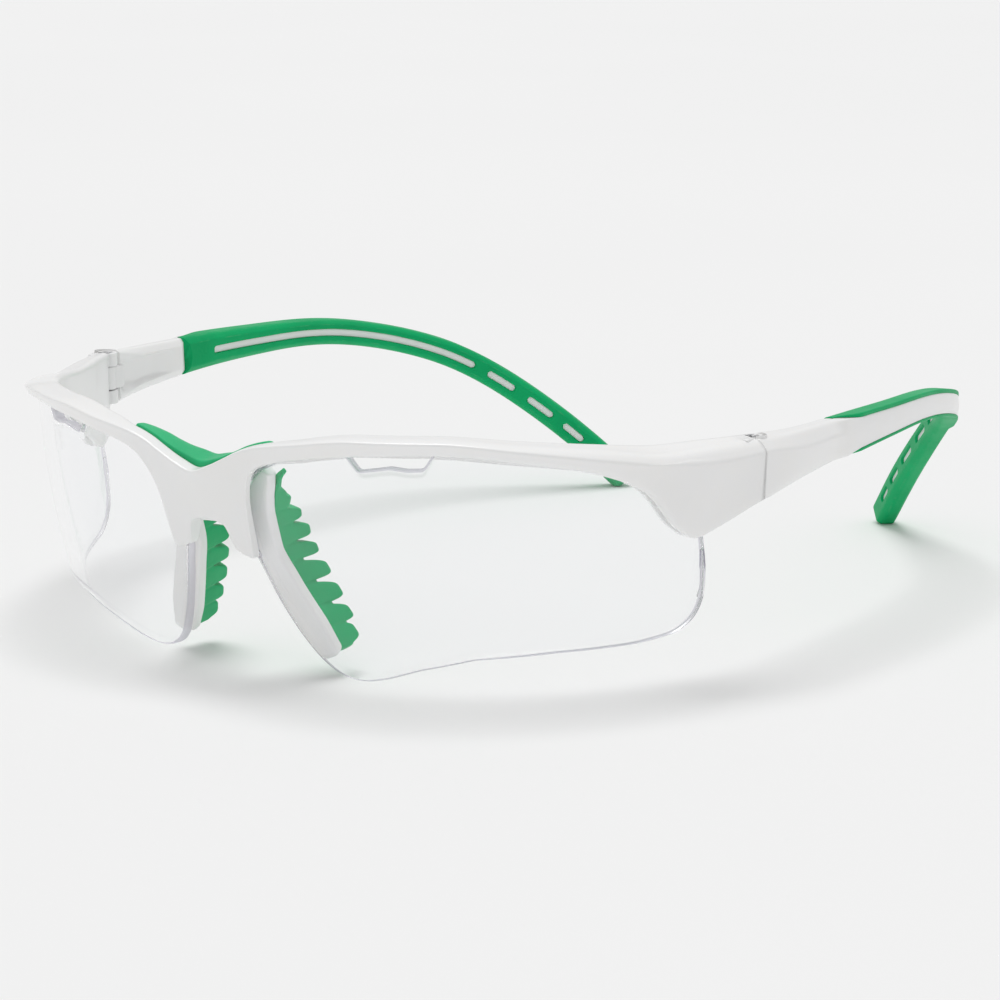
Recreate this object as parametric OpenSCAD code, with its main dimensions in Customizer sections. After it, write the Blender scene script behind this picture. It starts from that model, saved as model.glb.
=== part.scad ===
// Half-rim sports protective glasses: brow frame, two wrap lenses, nose piece
// with comb pads, and two folding temples with soft grips.
// The glasses stand on their lens corners and temple tips. -Y is the front.

/* [Lenses] */
// Thickness of each lens
lens_t = 2.0; // [1.8:0.1:2.2]
// Radius of the lens, seen from above
lens_r = 56.3; // [55:0.5:58]
// How far a lens leans forward, per millimetre of height
lens_lean = 0.37; // [0.36:0.005:0.38]
// Play between a lens and its groove
groove_play = 0.15; // [0.1:0.01:0.2]

/* [Nose] */
// Thickness of the nose piece's two arms
arm_t = 1.9; // [1.6:0.1:2.2]
// Number of fins on each nose pad
fin_count = 8; // [6:1:9]
// How far a fin reaches back from its pad
fin_reach = 6.5; // [4:0.5:7]

/* [Temples] */
// Distance from the mid plane to a hinge axis
hinge_x = 69.6; // [69.4:0.1:69.8]
// Radius of a hinge knuckle
knuckle_r = 1.9; // [1.8:0.1:2]
// Radius of a hinge screw
screw_r = 0.7; // [0.6:0.05:0.8]
// Running clearance of the temple's knuckle on its screw
screw_play = 0.05; // [0.02:0.01:0.08]
// Number of short slots in each grip
short_slots = 4; // [2:1:4]

/* [Hidden] */

white = "white";
green = [0.02, 0.64, 0.35];
clear = [0.85, 0.88, 0.9, 0.35];
steel = "silver";
round_fn = 32;
steps = 4;          // rings between two rows of a table
mid_y = 73.9;       // half way between the bridge and the temple tips
eps = 0.03;         // gap between pieces moulded onto each other

// --- lofting --------------------------------------------------------------

// Tangent at a row that keeps the curve between its rows
function tangent(a, b) = a * b <= 0 ? 0 : 2 * a * b / (a + b);
function slope(T, i, c) = i == 0 ? T[1][c] - T[0][c]
    : i == len(T) - 1 ? T[i][c] - T[i - 1][c]
    : tangent(T[i][c] - T[i - 1][c], T[i + 1][c] - T[i][c]);
function blend(T, i, c, t) =
    T[i][c] * (2 * t * t * t - 3 * t * t + 1) + T[i + 1][c] * (3 * t * t - 2 * t * t * t)
    + slope(T, i, c) * (t * t * t - 2 * t * t + t) + slope(T, i + 1, c) * (t * t * t - t * t);
// Row u of table T, with u from 0 to the last row's number
function row(T, u) = let (i = min(floor(u), len(T) - 2))
    [for (c = [0 : len(T[0]) - 1]) blend(T, i, c, u - i)];
function rows(T, n = steps) = [for (k = [0 : (len(T) - 1) * n]) row(T, k / n)];
// Column c of table T where its first column is v
function look(T, v, c = 1, i = 0) = i >= len(T) - 2 || v < T[i + 1][0]
    ? T[i][c] + (T[i + 1][c] - T[i][c]) * max(0, min(1, (v - T[i][0]) / (T[i + 1][0] - T[i][0])))
    : look(T, v, c, i + 1);
function unit(v) = v / norm(v);
// Direction of a list of points at point i
function along(P, i) = unit(P[min(i + 1, len(P) - 1)] - P[max(i - 1, 0)]);

// Closed solid through rings that all have the same even number of points
module loft(rings) {
    m = len(rings[0]);
    n = len(rings);
    sides = [for (i = [0 : n - 2], j = [0 : m - 1]) let (a = i * m + j, b = i * m + (j + 1) % m)
        each [[a, a + m, b], [b, a + m, b + m]]];
    first = [for (j = [0 : m / 2 - 2]) each [[j, j + 1, m - 1 - j], [j + 1, m - 2 - j, m - 1 - j]]];
    last = [for (f = first) [for (k = [2 : -1 : 0]) f[k] + (n - 1) * m]];
    polyhedron([for (r = rings) each r], concat(sides, first, last));
}
module placed() { translate([0, -mid_y, 0]) children(); }
module left_side() { placed() children(); }
module right_side() { placed() mirror([1, 0, 0]) children(); }

// --- lens -----------------------------------------------------------------

lens_x = 11;        // plan centre of the lens arc
lens_y = -10.7;     // foremost point of the lens at its top
// Lower edge of a lens: angle round its arc, height
lens_foot = [[-4.1, 21], [-2.7, 16.7], [-1.4, 12.7], [0.9, 7.5], [3.5, 3.3], [5.4, 1.5], [7.5, 0.4],
    [9.5, 0], [12, 0], [16, 0.9], [23, 3.2], [33, 5.6], [47, 6.8], [62, 7.4], [70, 8.4], [75, 11], [78, 16]];
// Upper edge of a lens, with the vent notch in its middle
lens_head = [[-4.1, 33], [0, 36], [9, 39.8], [13.3, 40.5], [16.4, 40.9], [19, 37.3], [24.3, 38.1],
    [29.6, 37.9], [32.2, 41.5], [46, 40.2], [59, 37.6], [66, 35.6], [72, 32], [78, 27.5]];
// A point of the lens: angle round its arc, height, distance out from its front face
function lens_at(a, z, out) = let (x = lens_x + (lens_r + out) * sin(a))
    [x, lens_y + lens_r - (lens_r + out) * cos(a)
        + (lens_lean - 0.148 * x / 60) * (38 - z) + 0.0048 * (z - 20) * (z - 20), z];
function lens_ring(a, grow) = let (z0 = look(lens_foot, a), z1 = look(lens_head, a) + grow, k = 8)
    concat([for (j = [0 : k]) lens_at(a, z0 + (z1 - z0) * j / k, -lens_t - grow)],
        [for (j = [k : -1 : 0]) lens_at(a, z0 + (z1 - z0) * j / k, grow)]);
lens_angles = [-4.1, -2.7, -1.4, 0.9, 3.5, 5.4, 7.5, 9.5, 12, 13.3, 16.4, 19, 21.6, 24.3, 27, 29.6, 32.2, 35, 38, 43, 48, 53,
    58, 62, 66, 70, 73, 76, 78];
module lens(grow = 0) { loft([for (a = lens_angles) lens_ring(a, grow)]); }

// --- frame ----------------------------------------------------------------

// Rows of the frame from its middle to the hinge:
// crease x, y, z; lower edge x, y, z; shelf depth, shelf rise, drop at its back; foot thickness; groove depth
frame_rows = [
    [0, -12.4, 35, 0, -8.6, 26.5, 3, 0.3, 4, 3.2, 0],
    [3, -12.4, 35.9, 3.2, -8.2, 25.8, 3, 0.3, 4, 3.2, 0],
    [5.4, -12.4, 37, 5, -6.7, 21.6, 2.8, 0.3, 4, 1.8, 0],
    [7.4, -12.4, 38, 8, -6.5, 20.6, 2.8, 0.3, 4, 1.7, 0],
    [9.6, -12.4, 39.1, 9.4, -9.6, 31, 2.8, 0.3, 4, 1.1, 0],
    [13, -12.4, 40.2, 12, -11.2, 36.2, 3, 0.3, 3.6, 1.1, 0],
    [20, -12, 41.3, 20, -10.7, 38.6, 5, 0.4, 4.2, 5, 1.6],
    [31, -9, 42.5, 30.5, -7.7, 39.9, 5.4, 0.5, 4.2, 4.9, 1.6],
    [42, -3.4, 42.5, 42, -2, 40.4, 5.4, 0.6, 4.2, 4.8, 1.5],
    [52.5, 5.5, 41, 51.8, 6.2, 39, 6, 1, 4.4, 4.9, 1.5],
    [60.8, 16, 39, 59.8, 16.5, 36.4, 6.4, 1.8, 4.8, 5.2, 1.6],
    [66.8, 27, 37.3, 63.9, 23.9, 32.8, 6.4, 2.6, 5.4, 4.8, 1.6],
    [69.6, 33.4, 36.8, 66, 29.8, 26.2, 6.2, 3, 5.8, 4.8, 1.6],
    [71, 37, 36.8, 66.9, 33.8, 24.2, 5.8, 3, 6, 4.6, 0.8],
    [73.4, 44, 37.4, 72.8, 44, 29.3, 5.2, 2.4, 8, 4.6, 0]];
frame_half = rows(frame_rows);
frame_all = concat([for (k = [len(frame_half) - 1 : -1 : 1]) let (r = frame_half[k])
    concat([-r[0], r[1], r[2], -r[3]], [for (c = [4 : 10]) r[c]])], frame_half);
crease = [for (r = frame_all) [r[0], r[1], 0]];
// Level direction into the frame from its crease
function inward(i) = let (d = along(crease, i)) [-d[1], d[0], 0];
up = [0, 0, 1];
// Level distance along n from point p to the lens face that is out from the lens's front
function to_lens(p, n, out) = let (side = abs(p[0]), n2 = [p[0] < 0 ? -n[0] : n[0], n[1]],
        m = [side - lens_x, p[1] - lens_y - lens_r - (lens_lean - 0.148 * side / 60) * (38 - p[2])
            - 0.0048 * (p[2] - 20) * (p[2] - 20)], k = m * n2)
    -k - sqrt(max(0, k * k - m * m + pow(lens_r + out, 2)));
// Four points of the groove that holds the lens: front mouth, front roof, back roof, back mouth
function groove(a, n, foot, depth) = depth < 0.4 ? [for (f = [0.2, 0.4, 0.6, 0.8]) a + n * foot * f]
    : let (p = a + up * depth, front = groove_play, back = -lens_t - groove_play)
    [a + n * to_lens(a, n, front), p + n * to_lens(p, n, front),
        p + n * to_lens(p, n, back), a + n * to_lens(a, n, back)];
function frame_ring(i) = let (r = frame_all[i], n = inward(i), a = [r[3], r[4], r[5]], b = [r[0], r[1], r[2]])
    concat([a + n * r[9], b + n * r[6] + up * (r[7] - r[8]), b + n * r[6] + up * r[7],
        b + n * 1.4 + up * r[7] * 0.7, b, a], groove(a, n, r[9], r[10]));

pivot_y = 45.6;
frame_end = 44;     // the frame's end face, that the open temples rest against
hinge_z = [29.9, 32.4, 36.9, 39.4];   // bottom ear, knuckle slot, top ear
head_r = 1.2;
head_h = 0.7;
module knuckle(z0, z1, r) { translate([hinge_x, pivot_y, z0]) cylinder(h = z1 - z0, r = r, $fn = round_fn); }
module ear(z0, z1) {
    knuckle(z0, z1, knuckle_r);
    translate([hinge_x - 1.5, 42, z0]) cube([2.8, pivot_y - 42, z1 - z0]);
}
module ears() {
    ear(hinge_z[0], hinge_z[1]);
    ear(hinge_z[2], hinge_z[3]);
}
module frame_body() loft([for (i = [0 : len(frame_all) - 1]) frame_ring(i)]);
module frame_mesh() resize([0, 0, 0]) {
    difference() {
        frame_body();
        for (m = [0, 1]) mirror([m, 0, 0]) {
            knuckle(hinge_z[1], hinge_z[2], knuckle_r + 0.3);
            translate([60, frame_end, 20]) cube([20, 10, 30]);
        }
    }
    for (m = [0, 1]) mirror([m, 0, 0]) ears();
}
module front_frame() color(white) placed() difference() {
    frame_mesh();
    for (m = [0, 1]) mirror([m, 0, 0]) {
        knuckle(hinge_z[0] - 1, hinge_z[3] + 1, screw_r + 0.01);
        knuckle(hinge_z[3] - head_h, hinge_z[3] + 2, head_r + 0.05);
    }
}
module hinge_screw() {
    knuckle(hinge_z[0], hinge_z[3] - head_h, screw_r);
    knuckle(hinge_z[3] - head_h, hinge_z[3], head_r);
}

// --- brow bumper ----------------------------------------------------------

bumper_rings = [for (i = [0 : len(frame_all) - 1]) if (abs(frame_all[i][0]) < 14.4)
    let (r = frame_all[i], n = inward(i), b = [r[0], r[1], r[2]],
        w = 2.4 + 2.8 * sqrt(1 - pow(r[0] / 14.6, 2)), d = r[6] + eps)
    [b + n * (d + w * 0.6) - up * 3, b + n * (d + w) - up * 2, b + n * (d + w) - up * 0.3,
        b + n * (d + w * 0.7) + up * 0.7, b + n * d + up * 0.5, b + n * d - up * 3]];
module brow_bumper() color(green) placed() loft(bumper_rings);

// --- nose piece -----------------------------------------------------------

// One arm behind the lens, from under the brow to its foot: angle round the lens arc, height, width
saddle_arm = [[2.6, 35.2, 1.6], [-0.6, 32.4, 2.6], [-2.4, 28, 3.8], [-2.6, 22, 4.6], [-0.6, 16, 5.2],
    [2.2, 9.8, 5.4], [4.9, 4.4, 3.8]];
saddle_gap = lens_t + 0.1 + arm_t / 2;
// Rings of four corners along a line behind the lens: t thick, widths in column 2 of table T
function strip(T, gap, t) = let (R = rows(T), P = [for (r = R) lens_at(r[0], r[1], -gap)])
    [for (i = [0 : len(P) - 1]) let (d = along(P, i), b = unit([0, 1, 0] - d * d[1]),
        w = cross(b, d) * R[i][2] / 2) [P[i] - b * t / 2 - w, P[i] - b * t / 2 + w,
        P[i] + b * t / 2 + w, P[i] + b * t / 2 - w]];
// The bar that joins the arms behind the bridge
bar_x = 7.4;
bar_y = [-5.9, -3.9];
bar_z = [25, 29];
module saddle_bar() translate([-bar_x, bar_y[0], bar_z[0]])
    cube([2 * bar_x, bar_y[1] - bar_y[0], bar_z[1] - bar_z[0]]);
module nose_saddle() color(white) placed() resize([0, 0, 0]) difference() {
    union() {
        for (m = [0, 1]) mirror([m, 0, 0]) loft(strip(saddle_arm, saddle_gap, arm_t));
        saddle_bar();
    }
    for (m = [0, 1]) mirror([m, 0, 0]) lens(groove_play);
    frame_body();
}
// The pad's strip runs down the back of an arm, and its fins point back
pad_t = 1.4;
pad_gap = lens_t + 0.1 + arm_t + eps + pad_t / 2;
pad_rows = [[2.4, 34.8, 1.2], [-0.8, 32, 2], [-2.6, 27.6, 3], [-2.6, 22, 3.4], [-0.3, 16, 3.8],
    [2.6, 9.8, 3.8], [5.1, 4.4, 2.4]];
pad_rings = strip(pad_rows, pad_gap, pad_t);
fin_t = 1.5;
fin_w = 2.1;
fin_span = [0.3, 0.97];     // where the first and last fins stand, along the strip
function between(P, u) = let (i = min(floor(u), len(P) - 2)) P[i] + (P[i + 1] - P[i]) * (u - i);
module nose_pad() resize([0, 0, 0]) union() {
    loft(pad_rings);
    for (k = [0 : fin_count - 1]) let (f = k / (fin_count - 1),
            u = fin_span[0] + (fin_span[1] - fin_span[0]) * f,
            c = between([for (r = pad_rings) (r[0] + r[2]) / 2], u * (len(pad_rings) - 1)))
        translate(c) rotate([-10, 0, -6]) translate([-fin_w / 2, 0, -fin_t / 2])
            cube([fin_w, pad_t / 2 + fin_reach * (0.45 + 0.55 * sin(20 + 150 * f)), fin_t]);
}

// --- temples --------------------------------------------------------------

// Rows of a temple from its root to its tip: x, y, z of the centre, height, thickness
temple_rows = [
    [70.9, 44.45, 34.6, 10.4, 5.2],
    [71.6, 58, 35.1, 8, 4.7],
    [70.9, 78, 35.9, 6.2, 4.3],
    [68.7, 100, 35.9, 5, 4],
    [64.3, 120, 33, 4.8, 4],
    [54.9, 135.4, 27.2, 4.9, 3.8],
    [40.2, 149.6, 13.4, 5, 4.3],
    [30.6, 158, 2, 5, 4.1]];
temple = rows(temple_rows, 6);
temple_line = [for (r = temple) [r[0], r[1], r[2]]];
grip_start = 9;
core_end = 29;
// Corners of a temple section between two levels across it (-1 inner face, 1 outer face)
function temple_ring(i, from, to, trim = 0) = let (r = temple[i], d = along(temple_line, i),
        s = unit(cross(d, up)), h = cross(s, d) * (r[3] / 2 - trim), q = s * r[4] / 2,
        c = temple_line[i], e = 0.7)
    [c + q * from - h * e, c + q * from + h * e, c + q * (from * 0.7 + to * 0.3) + h,
        c + q * (from * 0.3 + to * 0.7) + h, c + q * to + h * e, c + q * to - h * e,
        c + q * (from * 0.3 + to * 0.7) - h, c + q * (from * 0.7 + to * 0.3) - h];
lip = 0.7;          // how far the grip stands past the core, above and below
module temple_shell() {
    loft(concat([for (i = [0 : grip_start]) temple_ring(i, -1, 1)],
        [for (i = [grip_start : core_end]) temple_ring(i, 0.05, 1, lip)]));
}
module temple_mesh() resize([0, 0, 0]) {
    difference() {
        temple_shell();
        translate([hinge_x - 6, 40, 20]) cube([6, pivot_y - 40, 30]);
        knuckle(20, 50, knuckle_r + 0.3);
    }
    knuckle(hinge_z[1] + 0.1, hinge_z[2] - 0.1, knuckle_r);
    translate([hinge_x - 1.2, pivot_y, hinge_z[1] + 0.1])
        cube([1.2 + knuckle_r, 3.4, hinge_z[2] - hinge_z[1] - 0.2]);
}
module temple_arm() difference() {
    temple_mesh();
    knuckle(20, 50, screw_r + screw_play);
}
// One long slot, then short ones, sunk into the grip's inner face along its middle
slot_h = 1.2;
function slot_ring(u) = let (d = along(temple_line, round(u)), s = unit(cross(d, up)),
        h = cross(s, d) * slot_h / 2, c = between(temple_line, u))
    [c - s * 5 - h, c - s * 5 + h, c - s * 0.6 + h, c - s * 0.6 - h];
slots = concat([[11.2, 30.6]], [for (k = [0 : short_slots - 1]) [31.4 + 2.4 * k, 33 + 2.4 * k]]);
module temple_grip() resize([0, 0, 0]) difference() {
    loft(concat([for (i = [grip_start : core_end]) temple_ring(i, -1, 0.05 - eps)],
        [for (i = [core_end : len(temple) - 1]) temple_ring(i, -1 - eps, 1)]));
    for (q = slots) loft([for (u = [q[0] : (q[1] - q[0]) / ceil(q[1] - q[0]) : q[1] + 0.01]) slot_ring(u)]);
}

// --- pieces ---------------------------------------------------------------

module lens_left() color(clear) left_side() lens();
module lens_right() color(clear) right_side() lens();
module nose_pad_left() color(green) left_side() nose_pad();
module nose_pad_right() color(green) right_side() nose_pad();
module temple_arm_left() color(white) left_side() temple_arm();
module temple_arm_right() color(white) right_side() temple_arm();
module temple_grip_left() color(green) left_side() temple_grip();
module temple_grip_right() color(green) right_side() temple_grip();
module hinge_screw_left() color(steel) left_side() hinge_screw();
module hinge_screw_right() color(steel) right_side() hinge_screw();

front_frame();
brow_bumper();
lens_left();
lens_right();
nose_saddle();
nose_pad_left();
nose_pad_right();
temple_arm_left();
temple_arm_right();
temple_grip_left();
temple_grip_right();
hinge_screw_left();
hinge_screw_right();
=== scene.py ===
"""Wraparound sports glasses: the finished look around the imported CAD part.

Every piece is a skin of numpy rings laid along the same guide rows as the part, in metres, in the
part's own frame: +Z up, -Y to the front, +X to the wearer's left, standing on z = 0.
"""

import bpy
import numpy as np
from mathutils import Matrix


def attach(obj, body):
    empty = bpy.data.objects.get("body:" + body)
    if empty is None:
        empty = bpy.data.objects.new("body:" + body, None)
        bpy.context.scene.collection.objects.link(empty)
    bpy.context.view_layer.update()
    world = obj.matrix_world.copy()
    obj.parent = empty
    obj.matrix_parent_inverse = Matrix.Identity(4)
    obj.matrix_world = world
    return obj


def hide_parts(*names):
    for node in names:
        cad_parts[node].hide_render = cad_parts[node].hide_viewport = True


bl_info = {
    "name": "Sports glasses",
    "version": (1, 0, 0),
    "blender": (4, 5, 0),
    "location": "3D View > Sidebar > Glasses",
    "description": "Builds the finished pieces of a pair of wraparound sports glasses",
    "category": "Object",
}

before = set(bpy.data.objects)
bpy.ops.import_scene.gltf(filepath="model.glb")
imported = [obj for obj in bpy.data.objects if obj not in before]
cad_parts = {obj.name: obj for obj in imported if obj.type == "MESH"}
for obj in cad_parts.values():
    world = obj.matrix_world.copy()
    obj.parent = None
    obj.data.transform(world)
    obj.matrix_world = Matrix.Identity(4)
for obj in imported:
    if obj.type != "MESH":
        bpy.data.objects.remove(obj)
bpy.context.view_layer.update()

MM = 0.001
MID_Y = 73.9  # the guide rows start at the bridge; the part's frame starts half way back
UP = np.array([0.0, 0.0, 1.0])

# ---- Guide rows, in millimetres ----

# Front frame, middle to hinge: crease x y z, lower edge x y z, shelf depth, rise, drop, foot, groove
FRAME_ROWS = [
    [0, -12.4, 35, 0, -8.6, 26.5, 3, 0.3, 4, 3.2, 0],
    [3, -12.4, 35.9, 3.2, -8.2, 25.8, 3, 0.3, 4, 3.2, 0],
    [5.4, -12.4, 37, 5, -6.7, 21.6, 2.8, 0.3, 4, 1.8, 0],
    [7.4, -12.4, 38, 8, -6.5, 20.6, 2.8, 0.3, 4, 1.7, 0],
    [9.6, -12.4, 39.1, 9.4, -9.6, 31, 2.8, 0.3, 4, 1.1, 0],
    [13, -12.4, 40.2, 12, -11.2, 36.2, 3, 0.3, 3.6, 1.1, 0],
    [20, -12, 41.3, 20, -10.7, 38.6, 5, 0.4, 4.2, 5, 1.6],
    [31, -9, 42.5, 30.5, -7.7, 39.9, 5.4, 0.5, 4.2, 4.9, 1.6],
    [42, -3.4, 42.5, 42, -2, 40.4, 5.4, 0.6, 4.2, 4.8, 1.5],
    [52.5, 5.5, 41, 51.8, 6.2, 39, 6, 1, 4.4, 4.9, 1.5],
    [60.8, 16, 39, 59.8, 16.5, 36.4, 6.4, 1.8, 4.8, 5.2, 1.6],
    [66.8, 27, 37.3, 63.9, 23.9, 32.8, 6.4, 2.6, 5.4, 4.8, 1.6],
    [69.6, 33.4, 36.8, 66, 29.8, 26.2, 6.2, 3, 5.8, 4.8, 1.6],
    [71, 37, 36.8, 66.9, 33.8, 24.2, 5.8, 3, 6, 4.6, 0.8],
    [73.4, 44, 37.4, 72.8, 44, 29.3, 5.2, 2.4, 8, 4.6, 0],
]
FRAME_END = 44.0
# Lens: lower and upper edge as angle round its arc and height
LENS_FOOT = [[-4.1, 21], [-2.7, 16.7], [-1.4, 12.7], [0.9, 7.5], [3.5, 3.3], [5.4, 1.5], [7.5, 0.4],
             [9.5, 0], [12, 0], [16, 0.9], [23, 3.2], [33, 5.6], [47, 6.8], [62, 7.4], [70, 8.4],
             [75, 11], [78, 16]]
LENS_HEAD = [[-4.1, 33], [0, 36], [9, 39.8], [13.3, 40.5], [16.4, 40.9], [19, 37.3], [24.3, 38.1],
             [27, 37.75], [29.6, 37.9], [32.2, 41.5], [46, 40.2], [59, 37.6], [66, 35.6], [72, 32],
             [78, 27.5]]
LENS_RADIUS = 56.3
LENS_CENTRE = (11.0, 45.6)
LENS_LEAN = 0.37
LENS_RIM = 0.45  # radius of a lens's rounded rims
# Nose piece arm and the strip of its pad: angle round the lens arc, height, width
ARM_ROWS = [[0.6, 35.4, 1.8], [-0.6, 33.6, 3.4], [-2, 31, 4.4], [-2.8, 27.4, 4.8], [-2.7, 22, 4.8],
            [-0.6, 16, 5.2], [2.2, 9.8, 5.4], [4.7, 4.8, 4]]
PAD_ROWS = [[3, 35.6, 0.8], [1.4, 34.3, 1.3], [-0.6, 31.6, 2.2], [-2.2, 27.4, 3], [-2.4, 22, 3.4],
            [-0.3, 16, 3.8], [2.6, 9.8, 3.8], [5, 4.8, 2.6]]
# How far behind the lens's front face the arm and the pad begin
ARM_GAP = 2.1
PAD_GAP = 4.03
# How far each tooth of the comb reaches back, from the top one down
TEETH = [2.5, 5.0, 6.3, 7.0, 7.2, 7.0, 6.3, 4.8]
# How deep the web stands between two teeth, and before the first
WEB = [1.5, 2.0, 3.0, 2.9, 2.7, 2.9, 3.4, 3.8]
# Temple, root to tip: x y z of the centre, height, thickness
TEMPLE_ROWS = [
    [70.9, 44.45, 34.6, 10.4, 5.2],
    [71.6, 58, 35.1, 8, 4.7],
    [70.9, 78, 35.9, 6.2, 4.3],
    [68.7, 100, 35.9, 5, 4],
    [64.3, 120, 33, 4.8, 4],
    [54.9, 135.4, 27.2, 4.9, 3.8],
    [40.2, 149.6, 13.4, 5, 4.3],
    [30.6, 158, 2, 5, 4.1],
]
PER_ROW = 6.0  # stations between two temple rows
GRIP_START = 9.0
CORE_END = 29.0
TIP = 42.0
DENSE = np.linspace(0, TIP, 2000)  # stations for lengths and directions along the temple
# Slots of a grip, in stations along the temple: first, last
SLOTS = [[11.2, 30.6], [31.4, 33], [33.8, 35.4], [36.2, 37.8], [38.6, 40.2]]
SLOT_HALF = 0.66  # half a slot's height
PIVOT = (69.6, 45.6)  # x and y of the hinge axis
HINGE_Z = (29.9, 32.4, 36.9, 39.4)  # lower ear's bottom and top, upper ear's bottom and top

# ---- Curves and rings ----


def guide(table, u):
    """Rows of a table at the stations u: cubic pieces between rows, whose slope at a row is the
    harmonic mean of the two neighbouring differences, or nought where they differ in sign."""
    rows = np.asarray(table, float)
    step = np.diff(rows, axis=0)
    before, after = step[:-1], step[1:]
    total = np.where(before + after == 0, 1, before + after)
    slope = np.vstack([step[:1], np.where(before * after > 0, 2 * before * after / total, 0), step[-1:]])
    u = np.asarray(u, float)
    i = np.clip(np.floor(u).astype(int), 0, len(rows) - 2)
    t = (u - i)[:, None]
    return (rows[i] * (2 * t**3 - 3 * t**2 + 1) + rows[i + 1] * (3 * t**2 - 2 * t**3)
            + slope[i] * (t**3 - 2 * t**2 + t) + slope[i + 1] * (t**3 - t**2))


def level(table, where):
    """Second column of a table at values of its first, on straight lines between rows."""
    rows = np.asarray(table, float)
    return np.interp(where, rows[:, 0], rows[:, 1])


def softened(table, where, width):
    """Second column of a table at values of its first, averaged over a window of that width on either
    side with raised cosine weights, so its corners turn into arcs."""
    offsets = np.linspace(-1, 1, 121)
    weights = 1 + np.cos(np.pi * offsets)
    rows = np.asarray(table, float)
    # both end pieces are carried on past their last rows
    past = 5
    lead = rows[:1] - past * (rows[1] - rows[0]) / (rows[1, 0] - rows[0, 0])
    tail = rows[-1:] + past * (rows[-1] - rows[-2]) / (rows[-1, 0] - rows[-2, 0])
    spots = np.asarray(where)[:, None] + np.asarray(width)[..., None] * offsets
    values = level(np.vstack([lead, rows, tail]), spots)
    return (values * weights).sum(axis=1) / weights.sum()


def unit(v):
    """Vectors of length one along the last axis."""
    return v / np.linalg.norm(v, axis=-1, keepdims=True)


def smooth(lo, hi, x):
    """Rises from 0 at lo to 1 at hi as 3t^2 - 2t^3."""
    t = np.clip((x - lo) / (hi - lo), 0, 1)
    return t * t * (3 - 2 * t)


def rounded(corners, radius, arc=5, flat=(0.12, 0.5, 0.88)):
    """Rings with their corners rounded, and how near each point is to a corner's middle.

    corners is rings x corners x 3. Each corner becomes a parabola from a point on the edge before it
    to a point on the edge after, at the corner's radius or 0.45 of the edge if that is less, and the
    straight stretch up to the next corner gets the points at the fractions in flat."""
    count = corners.shape[1]
    radius = np.broadcast_to(np.asarray(radius, float), corners.shape[:2])[..., None]
    ahead = np.roll(corners, -1, axis=1) - corners
    behind = np.roll(corners, 1, axis=1) - corners
    len_a = np.linalg.norm(ahead, axis=2, keepdims=True) + 1e-9
    len_b = np.linalg.norm(behind, axis=2, keepdims=True) + 1e-9
    leave = corners + ahead / len_a * np.minimum(radius, 0.45 * len_a)
    enter = corners + behind / len_b * np.minimum(radius, 0.45 * len_b)
    t = np.linspace(0, 1, arc)[:, None]
    curve = ((1 - t)**2 * enter[:, :, None] + 2 * t * (1 - t) * corners[:, :, None]
             + t**2 * leave[:, :, None])
    f = np.asarray(flat, float)[:, None]
    line = leave[:, :, None] * (1 - f) + np.roll(enter, -1, axis=1)[:, :, None] * f
    rings = np.concatenate([curve, line], axis=2).reshape(len(corners), -1, 3)
    near = np.tile(np.concatenate([1 - np.abs(2 * t[:, 0] - 1), np.zeros(len(f))]), count)
    return rings, np.broadcast_to(near, rings.shape[:2])


def domed(ring, along, reach, steps=6, last=True):
    """Rings that close an end as a quarter ellipse: shrunk about the ring's middle by cos and moved
    along by reach times sin."""
    t = np.linspace(0, np.pi / 2 * 0.97, steps + 1)[1:, None, None]
    middle = ring.mean(axis=0)
    out = middle + (ring - middle) * np.cos(t) + np.asarray(along) * reach * np.sin(t)
    return out if last else out[::-1]


def capped(rings, near, ends, reach, steps=6):
    """A closed skin with a dome on its first and last ring, in the direction and as deep as ends and
    reach say for each. A first reach of nought leaves that end flat."""
    first = domed(rings[0], ends[0], reach[0], steps, last=False) if reach[0] else rings[:0]
    last = domed(rings[-1], ends[1], reach[1], steps)
    near = np.vstack([near[:1].repeat(len(first), 0), near, near[-1:].repeat(len(last), 0)])
    return shell(np.vstack([first, rings, last]), near)


def shell(rings, near=None):
    """Points, faces and edge marks of the closed skin through rings, faces outwards.

    Each ring is joined to the next by quads. The two end rings are closed by strips between point j
    and the point as far from the ring's start on the other side. If the volume comes out negative,
    every face is turned."""
    n, m = rings.shape[:2]
    i, j = np.meshgrid(np.arange(n - 1), np.arange(m), indexing="ij")
    a, b = i * m + j, i * m + (j + 1) % m
    sides = np.stack([a, a + m, b + m, b], axis=-1).reshape(-1, 4)
    k = np.arange(m // 2 - 1)
    first = np.stack([k, k + 1, m - 2 - k, m - 1 - k], axis=-1)
    last = first[:, ::-1] + (n - 1) * m
    faces = np.vstack([sides, first, last])
    points = rings.reshape(-1, 3)
    p = points[faces]
    volume = (np.einsum("ij,ij->i", p[:, 0], np.cross(p[:, 1], p[:, 2]))
              + np.einsum("ij,ij->i", p[:, 0], np.cross(p[:, 2], p[:, 3]))).sum()
    if volume < 0:
        faces = faces[:, ::-1]
    marks = np.zeros(n * m) if near is None else np.asarray(near, float).reshape(-1)
    return points, faces, marks


def mirrored(part):
    """A shell on the other side of the mid plane, with its faces turned to point outwards."""
    points, faces, marks = part
    return points * [-1, 1, 1], faces[:, ::-1], marks


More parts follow.
